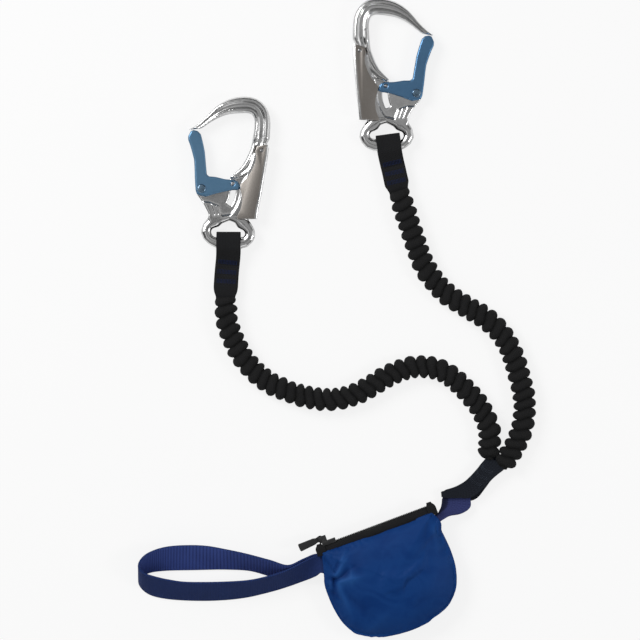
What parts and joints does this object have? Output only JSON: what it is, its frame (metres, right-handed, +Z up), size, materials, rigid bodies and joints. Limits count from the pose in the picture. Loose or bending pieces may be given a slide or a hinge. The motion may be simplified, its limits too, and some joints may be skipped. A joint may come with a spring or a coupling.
{
  "type": "via ferrata lanyard",
  "caption": "Y-shaped via ferrata set: palm-lever karabiners on ribbed elastic arms, a zipped pouch with folded tear webbing, and a blue webbing tie-in loop.",
  "frame": {"origin": "on the floor under the middle of what is seen from above", "axes": "+Z up from the floor it lies on, +Y from the pouch towards the karabiners, +X to the side of the second karabiner"},
  "size_m": [0.3392, 0.5417, 0.0296],
  "materials": {
    "polished_aluminium": "polished, forged",
    "satin_steel": "satin sheet",
    "blue_anodised": "anodised, metallic",
    "bright_steel": "bright",
    "black_webbing": "matte woven",
    "elastic_core": "matte elastic",
    "blue_webbing": "woven",
    "blue_nylon": "coated nylon",
    "black_zip": "moulded and woven"
  },
  "bodies": {
    "webbing": {"left_end_loop": "black_webbing", "right_end_loop": "black_webbing", "left_arm_sleeve": "black_webbing", "left_arm_core": "elastic_core", "right_arm_sleeve": "black_webbing", "right_arm_core": "elastic_core", "junction_strap": "black_webbing", "connector_loop": "blue_webbing", "tie_in_loop": "blue_webbing", "pouch_front": "blue_nylon", "pouch_back": "blue_nylon", "absorber_webbing": "blue_webbing", "zip_tape_front": "black_zip", "zip_tape_back": "black_zip", "zip_chain_front": "black_zip", "zip_chain_back": "black_zip", "zip_top_stop": "black_zip", "zip_end_stop": "black_zip"},
    "left_karabiner": {"left_frame": "polished_aluminium", "left_gate_rivet": "bright_steel", "left_lever_pin": "bright_steel", "left_gate_spring": "bright_steel", "left_lever_spring": "bright_steel"},
    "left_gate": {"left_gate": "blue_anodised", "left_lock_pin": "bright_steel"},
    "left_palm_lever": {"left_palm_lever": "satin_steel"},
    "right_karabiner": {"right_frame": "polished_aluminium", "right_gate_rivet": "bright_steel", "right_lever_pin": "bright_steel", "right_gate_spring": "bright_steel", "right_lever_spring": "bright_steel"},
    "right_gate": {"right_gate": "blue_anodised", "right_lock_pin": "bright_steel"},
    "right_palm_lever": {"right_palm_lever": "satin_steel"},
    "zip_slider": {"zip_slider": "black_zip"},
    "zip_pull": {"zip_pull": "black_zip"}
  },
  "joints": [
    {"name": "left_karabiner_swing", "type": "hinge", "parent": "webbing", "child": "left_karabiner", "pos_m": [-0.07948, 0.06375, 0.0066], "axis": [1, 0, 0], "range_deg": [-15, 15]},
    {"name": "left_gate_hinge", "type": "hinge", "parent": "left_karabiner", "child": "left_gate", "pos_m": [-0.10217, 0.10995, 0.0066], "axis": [0, 0, -1], "range_deg": [0, 35], "stiffness_Nm_per_rad": 0.12, "springref_deg": -28.65, "deforming": ["left_gate_spring"]},
    {"name": "left_lever_hinge", "type": "hinge", "parent": "left_karabiner", "child": "left_palm_lever", "pos_m": [-0.05117, 0.14224, 0.0066], "axis": [0, 0, -1], "range_deg": [0, 3], "stiffness_Nm_per_rad": 0.8, "springref_deg": -17.19, "deforming": ["left_lever_spring"]},
    {"name": "right_karabiner_swing", "type": "hinge", "parent": "webbing", "child": "right_karabiner", "pos_m": [0.05398, 0.14663, 0.0066], "axis": [-0.9969, 0.0785, 0], "range_deg": [-15, 15]},
    {"name": "right_gate_hinge", "type": "hinge", "parent": "right_karabiner", "child": "right_gate", "pos_m": [0.08023, 0.1909, 0.0066], "axis": [0, 0, 1], "range_deg": [0, 35], "stiffness_Nm_per_rad": 0.12, "springref_deg": -28.65, "deforming": ["right_gate_spring"]},
    {"name": "right_lever_hinge", "type": "hinge", "parent": "right_karabiner", "child": "right_palm_lever", "pos_m": [0.03192, 0.2271, 0.0066], "axis": [0, 0, 1], "range_deg": [0, 3], "stiffness_Nm_per_rad": 0.8, "springref_deg": -17.19, "deforming": ["right_lever_spring"]},
    {"name": "zip_run", "type": "slide", "parent": "webbing", "child": "zip_slider", "axis": [0.9371, 0.3491, 0], "range_m": [0, 0.081]},
    {"name": "zip_pull_swing", "type": "hinge", "parent": "zip_slider", "child": "zip_pull", "pos_m": [-0.00148, -0.18728, 0.013], "axis": [0, 0, 1], "range_deg": [-110, 0]}
  ]
}
